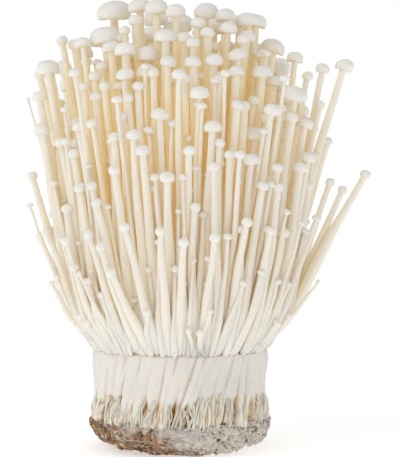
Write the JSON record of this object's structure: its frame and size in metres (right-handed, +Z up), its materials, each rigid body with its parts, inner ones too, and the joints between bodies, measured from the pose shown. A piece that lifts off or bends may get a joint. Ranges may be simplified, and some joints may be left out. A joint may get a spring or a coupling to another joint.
{
  "type": "enoki mushroom cluster",
  "caption": "Dense upright bunch of long thin enoki mushrooms with small domed caps, fanning out of a round fused base that stands on a lumpy plug of growing medium.",
  "frame": {"origin": "centre of the flat patch under the plug of growing medium, on the axis of the growing bottle", "axes": "+Z up along the bottle's axis, -Y the front, +X to the right as seen from the front"},
  "size_m": [0.1136, 0.0959, 0.1477],
  "materials": {
    "mushroom": "moist satin, slightly translucent, cream stems with whiter caps",
    "fused_base": "matt, ribbed, white with yellow-brown in the clefts",
    "substrate": "rough crumbly sawdust with white mycelium and dark specks"
  },
  "bodies": {
    "root": {"substrate_plug": "substrate", "fused_base": "fused_base", "mushroom_01": "mushroom", "mushroom_02": "mushroom", "mushroom_03": "mushroom", "mushroom_04": "mushroom", "mushroom_05": "mushroom", "mushroom_06": "mushroom", "mushroom_07": "mushroom", "mushroom_08": "mushroom", "mushroom_09": "mushroom", "mushroom_10": "mushroom", "mushroom_11": "mushroom", "mushroom_12": "mushroom", "mushroom_13": "mushroom", "mushroom_14": "mushroom", "mushroom_15": "mushroom", "mushroom_16": "mushroom", "mushroom_17": "mushroom", "mushroom_18": "mushroom", "mushroom_19": "mushroom", "mushroom_20": "mushroom", "mushroom_21": "mushroom", "mushroom_22": "mushroom", "mushroom_23": "mushroom", "mushroom_24": "mushroom", "mushroom_25": "mushroom", "mushroom_26": "mushroom", "mushroom_27": "mushroom", "tuft_01": "mushroom", "tuft_02": "mushroom", "tuft_03": "mushroom", "tuft_04": "mushroom", "tuft_05": "mushroom", "tuft_06": "mushroom", "tuft_07": "mushroom", "tuft_08": "mushroom", "tuft_09": "mushroom", "tuft_10": "mushroom", "tuft_11": "mushroom", "tuft_12": "mushroom", "tuft_13": "mushroom", "tuft_14": "mushroom", "tuft_15": "mushroom", "tuft_16": "mushroom", "tuft_17": "mushroom", "tuft_18": "mushroom", "tuft_19": "mushroom", "tuft_20": "mushroom", "tuft_21": "mushroom", "tuft_22": "mushroom", "tuft_23": "mushroom", "tuft_24": "mushroom", "tuft_25": "mushroom", "tuft_26": "mushroom", "tuft_27": "mushroom", "tuft_28": "mushroom", "tuft_29": "mushroom", "tuft_30": "mushroom"}
  },
  "joints": []
}
